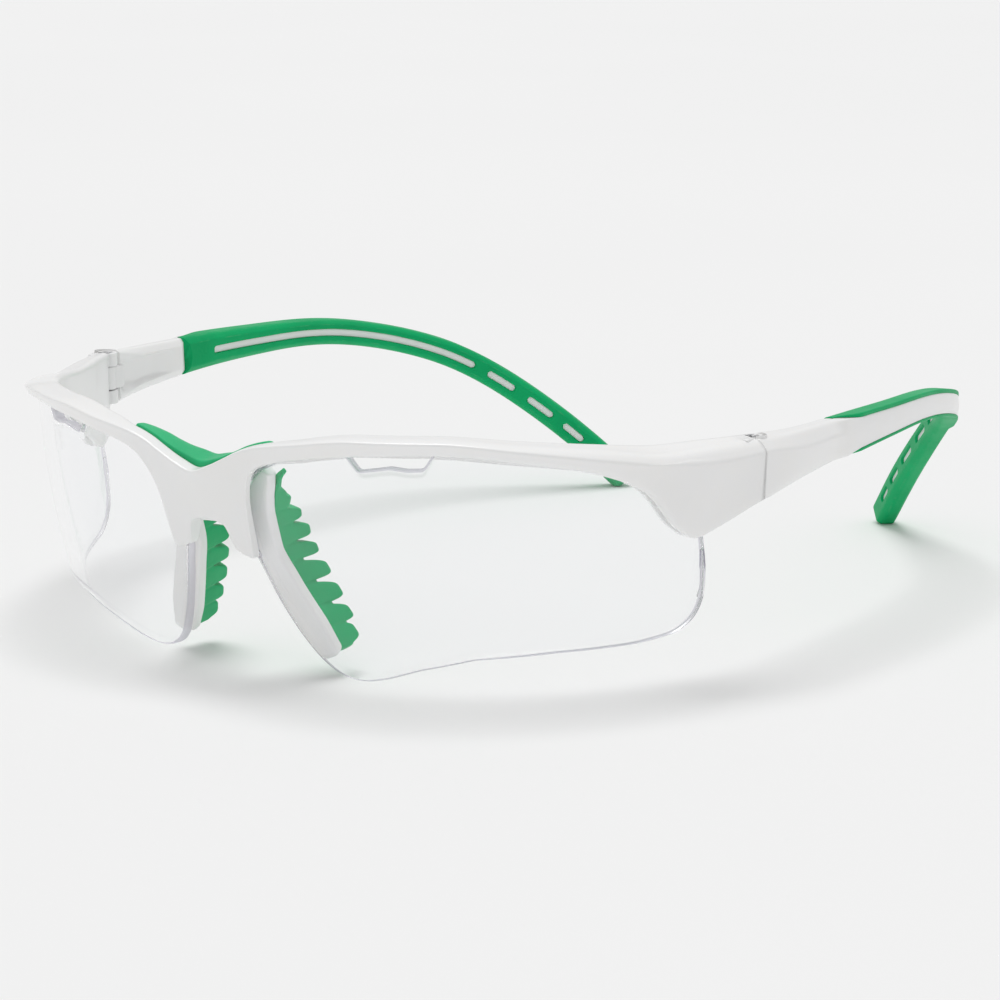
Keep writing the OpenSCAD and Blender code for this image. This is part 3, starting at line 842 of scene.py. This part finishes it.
def layered(tree, mottle, colour, second, layers):
    """A colour and a second one in turn by the mottle, with each layer's colour over it by its mask."""
    base = blend_colour(tree, remap(tree, mottle, -1.0, 1.0), rgba(colour), rgba(second))
    for mask, cover in layers:
        base = blend_colour(tree, mask, base, rgba(cover))
    return base


def gloss_plastic(name, colour):
    """Gloss moulded plastic: clear coat, faint handling marks in its roughness, rubbed corners a
    little brighter and duller, and a breath of dust on top."""
    material, tree, surface = blank(name)
    skin = effect(tree, "moulded skin", Roughness=0.3, Handling=0.02, Grain_Size=2200.0,
                  Grain_Depth=0.04, Wave_Depth=0.03)
    worn = effect(tree, "edge wear", Amount=0.2, Break_Up=420.0)["Mask"]
    dust = effect(tree, "fine dust", Amount=0.06, Speck_Size=1500.0)["Mask"]
    warm = tuple(c * k for c, k in zip(colour, (1.0, 0.996, 0.985)))
    layers = ((worn, shade(colour, 1.06)), (dust, (0.62, 0.6, 0.57)))
    link(tree, layered(tree, skin["Mottle"], colour, warm, layers), surface.inputs["Base Color"])
    rough = maths(tree, "ADD", skin["Roughness"], maths(tree, "MULTIPLY", worn, 0.1))
    rough = maths(tree, "ADD", rough, maths(tree, "MULTIPLY", dust, 0.4))
    link(tree, rough, surface.inputs["Roughness"])
    link(tree, skin["Normal"], surface.inputs["Normal"])
    settle(surface, IOR=1.49, Coat_Weight=0.35, Coat_Roughness=0.12)
    settle(surface, Subsurface_Weight=0.12, Subsurface_Radius=(0.0016, 0.0015, 0.0014),
           Subsurface_Scale=1.0)
    return material


def soft_rubber(name, colour, sheen):
    """Soft moulded elastomer: satin, finely grained, a little uneven in depth of colour, paler where
    corners are rubbed, with a low sheen."""
    material, tree, surface = blank(name)
    skin = effect(tree, "moulded skin", Roughness=0.46, Handling=0.07, Grain_Size=1500.0,
                  Grain_Depth=0.3, Wave_Depth=0.1)
    worn = effect(tree, "edge wear", Amount=0.3, Break_Up=260.0)["Mask"]
    dust = effect(tree, "fine dust", Amount=0.06, Speck_Size=1200.0)["Mask"]
    pale = tuple(c + (0.55 - c) * 0.3 for c in colour)
    layers = ((worn, pale), (dust, (0.3, 0.5, 0.4)))
    link(tree, layered(tree, skin["Mottle"], colour, shade(colour, 0.9), layers),
         surface.inputs["Base Color"])
    rough = maths(tree, "ADD", skin["Roughness"], maths(tree, "MULTIPLY", worn, 0.15))
    link(tree, rough, surface.inputs["Roughness"])
    link(tree, skin["Normal"], surface.inputs["Normal"])
    settle(surface, IOR=1.45, Specular_IOR_Level=0.16, Sheen_Weight=sheen, Sheen_Roughness=0.4)
    settle(surface, Subsurface_Weight=0.1, Subsurface_Radius=(0.0005, 0.0012, 0.0008),
           Subsurface_Scale=1.0)
    return material


def clear_plastic(name, tint):
    """Clear polished lens: full transmission, with faint wiping smears in its roughness, hair-fine
    ripples, and duller rims whose colour carries painted shade, darkened to a grey lavender. Shadow
    and diffuse rays fall almost straight through it to what is below, and so does a ray that has met
    more than three surfaces."""
    material, tree, surface = blank(name)
    coords = object_coords(tree)
    stretch = tree.nodes.new("ShaderNodeMapping")
    settle(stretch, Scale=(1.0, 1.0, 5.0), Rotation=(0.0, 0.5, 0.0))
    link(tree, coords, stretch.inputs["Vector"])
    smears = remap(tree, noise(tree, stretch.outputs["Vector"], 60.0, 5.0, 0.6), 0.5, 0.8, 0.0, 0.035)
    cut_rim_painted_shade = remap(tree, corner_marks(tree), 0.5, 1.0)
    rough = maths(tree, "ADD", smears, maths(tree, "MULTIPLY", cut_rim_painted_shade, 0.55))
    link(tree, rough, surface.inputs["Roughness"])
    # painted shade: the rims' colour is darkened to a grey lavender in place of the dark lines that
    # light bending at a lens's edge gives; their higher roughness is the duller cut edge
    rims = blend_colour(tree, cut_rim_painted_shade, rgba(tint), (0.58, 0.57, 0.64, 1.0))
    link(tree, rims, surface.inputs["Base Color"])
    ripple = bump(tree, remap(tree, cut_rim_painted_shade, 0.0, 1.0, 0.04, 0.0), 0.0002, noise(tree, coords, 45.0, 1.0))
    link(tree, ripple, surface.inputs["Normal"])
    surface.inputs["IOR"].default_value = 1.4
    surface.inputs["Transmission Weight"].default_value = 1.0
    path = tree.nodes.new("ShaderNodeLightPath").outputs
    late = maths(tree, "GREATER_THAN", path["Ray Depth"], 3.5)
    passing = maths(tree, "MAXIMUM", path["Is Shadow Ray"], path["Is Diffuse Ray"])
    passing = maths(tree, "MAXIMUM", passing, late)
    link(tree, maths(tree, "SUBTRACT", 1.0, maths(tree, "MULTIPLY", passing, 0.94)),
         surface.inputs["Alpha"])
    return material


def turned_steel(name, colour):
    """Screw steel: a fine grain, uneven roughness and tone, and brighter rubbed corners."""
    material, tree, surface = blank(name)
    skin = effect(tree, "moulded skin", Roughness=0.3, Handling=0.08, Grain_Size=4200.0,
                  Grain_Depth=0.5, Wave_Depth=0.02)
    worn = effect(tree, "edge wear", Amount=0.4, Break_Up=900.0)["Mask"]
    layers = ((worn, (0.85, 0.85, 0.86)),)
    link(tree, layered(tree, skin["Mottle"], colour, shade(colour, 0.8), layers),
         surface.inputs["Base Color"])
    link(tree, skin["Roughness"], surface.inputs["Roughness"])
    link(tree, skin["Normal"], surface.inputs["Normal"])
    surface.inputs["Metallic"].default_value = 1.0
    return material


def studio_floor(name, colour):
    """Matt paper sweep with the faintest unevenness."""
    material, tree, surface = blank(name)
    coords = object_coords(tree)
    cloud = remap(tree, noise(tree, coords, 3.0, 2.0), 0.3, 0.7)
    tone = blend_colour(tree, cloud, rgba(colour), rgba(shade(colour, 0.99)))
    link(tree, tone, surface.inputs["Base Color"])
    settle(surface, Roughness=0.9, Specular_IOR_Level=0.1)
    return material


# ---- Settings ----


def colour_property(label, text, value):
    """A colour a user may change."""
    return bpy.props.FloatVectorProperty(name=label, description=text, default=value, size=3,
                                         subtype="COLOR", min=0.0, max=1.0)


class GlassesSizes(bpy.types.PropertyGroup):
    """Sizes of the glasses' pieces."""

    lens: bpy.props.FloatProperty(name="Lens thickness", description="Thickness of each lens",
                                  default=0.002, min=0.0018, max=0.0022, unit="LENGTH")
    arm: bpy.props.FloatProperty(name="Nose arm thickness",
                                 description="Thickness of the nose piece's arms",
                                 default=0.0019, min=0.0016, max=0.0022, unit="LENGTH")
    strip: bpy.props.FloatProperty(name="Nose pad thickness",
                                   description="Thickness of a nose pad's strip",
                                   default=0.0014, min=0.001, max=0.0016, unit="LENGTH")
    screw: bpy.props.FloatProperty(name="Screw radius", description="Radius of a hinge screw's shank",
                                   default=0.0007, min=0.0006, max=0.0008, unit="LENGTH")


class GlassesColours(bpy.types.PropertyGroup):
    """Colours of the glasses and the studio."""

    shell: colour_property("Shell", "Plastic of the frame, nose piece and temples", (0.93, 0.93, 0.93))
    brow: colour_property("Brow pad", "Soft pad behind the bridge", (0.035, 0.52, 0.215))
    nose: colour_property("Nose pads", "Soft combs on the nose piece", (0.012, 0.45, 0.165))
    grip: colour_property("Grips", "Soft grips on the temples", (0.0, 0.42, 0.14))
    lens: colour_property("Lenses", "Tint of the clear lenses", (0.985, 0.988, 0.995))
    steel: colour_property("Screws", "Hinge screws", (0.62, 0.62, 0.64))
    floor: colour_property("Floor", "Paper the glasses stand on", (0.88, 0.88, 0.88))


# ---- Operators ----

MATERIALS = {}


def stocked(context, name, maker, colour, *more):
    """A material in one of the settings' colours, made at its first use."""
    if name not in MATERIALS:
        MATERIALS[name] = maker(name, tuple(getattr(context.scene.glasses_colours, colour)), *more)
    return MATERIALS[name]


def white_shell(context):
    """The hard white plastic."""
    return stocked(context, "white shell", gloss_plastic, "shell")


class GLASSES_OT_front_frame(bpy.types.Operator):
    """Builds the front frame with its two pairs of hinge ears"""

    bl_idname = "glasses.front_frame"
    bl_label = "Front frame"

    def execute(self, context):
        parts = [front_shell(context.scene.glasses_sizes.lens / MM)]
        x, y = PIVOT
        for z0, z1 in (HINGE_Z[:2], HINGE_Z[2:]):
            ears = [pin(x, y, z0, z1, 1.9), block(x - 1.55, x + 1.35, 41.8, y, z0, z1, 0.3)]
            parts += ears + [mirrored(e) for e in ears]
        piece("Front_frame", parts, "front", "front_frame", white_shell(context))
        return {"FINISHED"}


class GLASSES_OT_brow_bumper(bpy.types.Operator):
    """Builds the soft pad behind the bridge"""

    bl_idname = "glasses.brow_bumper"
    bl_label = "Brow bumper"

    def execute(self, context):
        rubber = stocked(context, "brow rubber", soft_rubber, "brow", 0.1)
        piece("Brow_bumper", [bumper_shell()], "front", "brow_bumper", rubber)
        return {"FINISHED"}


class GLASSES_OT_lenses(bpy.types.Operator):
    """Builds the two clear lenses"""

    bl_idname = "glasses.lenses"
    bl_label = "Lenses"

    def execute(self, context):
        clear = stocked(context, "clear lens", clear_plastic, "lens")
        lens = lens_shell(context.scene.glasses_sizes.lens / MM)
        pair("Lens", [lens], "front", clear)
        return {"FINISHED"}


class GLASSES_OT_nose_saddle(bpy.types.Operator):
    """Builds the hard nose piece behind the lenses"""

    bl_idname = "glasses.nose_saddle"
    bl_label = "Nose saddle"

    def execute(self, context):
        parts = saddle_shells(context.scene.glasses_sizes.arm / MM)
        piece("Nose_saddle", parts, "front", "nose_saddle", white_shell(context))
        return {"FINISHED"}


class GLASSES_OT_nose_pads(bpy.types.Operator):
    """Builds the two soft comb pads"""

    bl_idname = "glasses.nose_pads"
    bl_label = "Nose pads"

    def execute(self, context):
        rubber = stocked(context, "comb rubber", soft_rubber, "nose", 0.05)
        comb = comb_shell(context.scene.glasses_sizes.strip / MM)
        pair("Nose_pad", [comb], "front", rubber)
        return {"FINISHED"}


class GLASSES_OT_temples(bpy.types.Operator):
    """Builds the two hard temples with their hinge knuckles"""

    bl_idname = "glasses.temples"
    bl_label = "Temples"

    def execute(self, context):
        pair("Temple_arm", temple_shells(), "{}_temple", white_shell(context))
        return {"FINISHED"}


class GLASSES_OT_grips(bpy.types.Operator):
    """Builds the two soft temple grips"""

    bl_idname = "glasses.grips"
    bl_label = "Temple grips"

    def execute(self, context):
        rubber = stocked(context, "grip rubber", soft_rubber, "grip", 0.03)
        pair("Temple_grip", [grip_shell()], "{}_temple", rubber)
        return {"FINISHED"}


class GLASSES_OT_hinge_screws(bpy.types.Operator):
    """Builds the two hinge screws"""

    bl_idname = "glasses.hinge_screws"
    bl_label = "Hinge screws"

    def execute(self, context):
        steel = stocked(context, "screw steel", turned_steel, "steel")
        radius = context.scene.glasses_sizes.screw / MM
        z0, z1 = HINGE_Z[0], HINGE_Z[3]
        screw = [pin(*PIVOT, z0 + 0.02, z1 - 0.5, radius, edge=0.1),
                 pin(*PIVOT, z1 - 0.6, z1 + 0.02, 1.1, edge=0.12, count=72, slot=True)]
        pair("Hinge_screw", screw, "front", steel)
        return {"FINISHED"}


def softbox(name, place, spread, power):
    """A wide soft light from far away that shines from place to the middle of the floor."""
    lamp = bpy.data.lights.new(name, "SUN")
    lamp.energy = power
    lamp.angle = np.radians(spread)
    obj = bpy.data.objects.new(name, lamp)
    back = unit(np.array(place, float))
    right = unit(np.cross([0.0, 1.0, 0.0], back))
    turn = np.eye(4)
    turn[:3, :3] = np.column_stack([right, np.cross(back, right), back])
    turn[:3, 3] = place
    obj.matrix_world = Matrix(turn.tolist())
    bpy.context.scene.collection.objects.link(obj)
    return obj


class GLASSES_OT_studio(bpy.types.Operator):
    """Sets up the pale floor, the soft light and the camera"""

    bl_idname = "glasses.studio"
    bl_label = "Studio"

    def execute(self, context):
        scene = context.scene
        half = 8.0  # half a side of the floor, in metres
        mesh = bpy.data.meshes.new("Studio_floor")
        mesh.from_pydata([(-half, -half, 0), (half, -half, 0), (half, half, 0), (-half, half, 0)], [],
                         [(0, 1, 2, 3)])
        mesh.materials.append(stocked(context, "studio paper", studio_floor, "floor"))
        floor = bpy.data.objects.new("Studio_floor", mesh)
        scene.collection.objects.link(floor)
        world = bpy.data.worlds.new("Studio")
        world.use_nodes = True
        sky = world.node_tree.nodes["Background"]
        sky.inputs["Color"].default_value = (1.0, 1.0, 1.0, 1.0)
        sky.inputs["Strength"].default_value = 0.57
        scene.world = world
        softbox("Ceiling light", (-0.25, 0.15, 1.6), 34.0, 1.42)
        scene.view_settings.view_transform = "Standard"
        scene.view_settings.look = "None"
        camera = bpy.data.cameras.new("Studio camera")
        camera.sensor_width = 36.0
        camera.lens = 127.48
        camera.clip_start = 0.01
        holder = bpy.data.objects.new("Studio camera", camera)
        holder.location = (0.3645, -0.5058, 0.1478)
        holder.rotation_euler = np.radians((78.001, 0.109, 35.837))
        scene.collection.objects.link(holder)
        scene.camera = holder
        return {"FINISHED"}


STEPS = (
    GLASSES_OT_front_frame,
    GLASSES_OT_brow_bumper,
    GLASSES_OT_lenses,
    GLASSES_OT_nose_saddle,
    GLASSES_OT_nose_pads,
    GLASSES_OT_temples,
    GLASSES_OT_grips,
    GLASSES_OT_hinge_screws,
    GLASSES_OT_studio,
)


class GLASSES_PT_sidebar(bpy.types.Panel):
    """Lists the pieces of the glasses"""

    bl_idname = "GLASSES_PT_sidebar"
    bl_label = "Sports glasses"
    bl_space_type = "VIEW_3D"
    bl_region_type = "UI"
    bl_category = "Glasses"

    def draw(self, context):
        column = self.layout.column()
        for settings in (context.scene.glasses_sizes, context.scene.glasses_colours):
            for name in settings.__annotations__:
                column.prop(settings, name)
        for step in STEPS:
            column.operator(step.bl_idname)


CLASSES = (GlassesSizes, GlassesColours, *STEPS, GLASSES_PT_sidebar)


def register():
    """Registers the classes and hangs the settings on the scene."""
    for cls in CLASSES:
        bpy.utils.register_class(cls)
    bpy.types.Scene.glasses_sizes = bpy.props.PointerProperty(type=GlassesSizes)
    bpy.types.Scene.glasses_colours = bpy.props.PointerProperty(type=GlassesColours)


def unregister():
    """Takes the settings and the classes away again."""
    del bpy.types.Scene.glasses_colours
    del bpy.types.Scene.glasses_sizes
    for cls in reversed(CLASSES):
        bpy.utils.unregister_class(cls)


def main():
    """Builds every piece and the studio."""
    register()
    for step in STEPS:
        family, name = step.bl_idname.split(".")
        getattr(getattr(bpy.ops, family), name)()


if __name__ == "__main__":
    main()
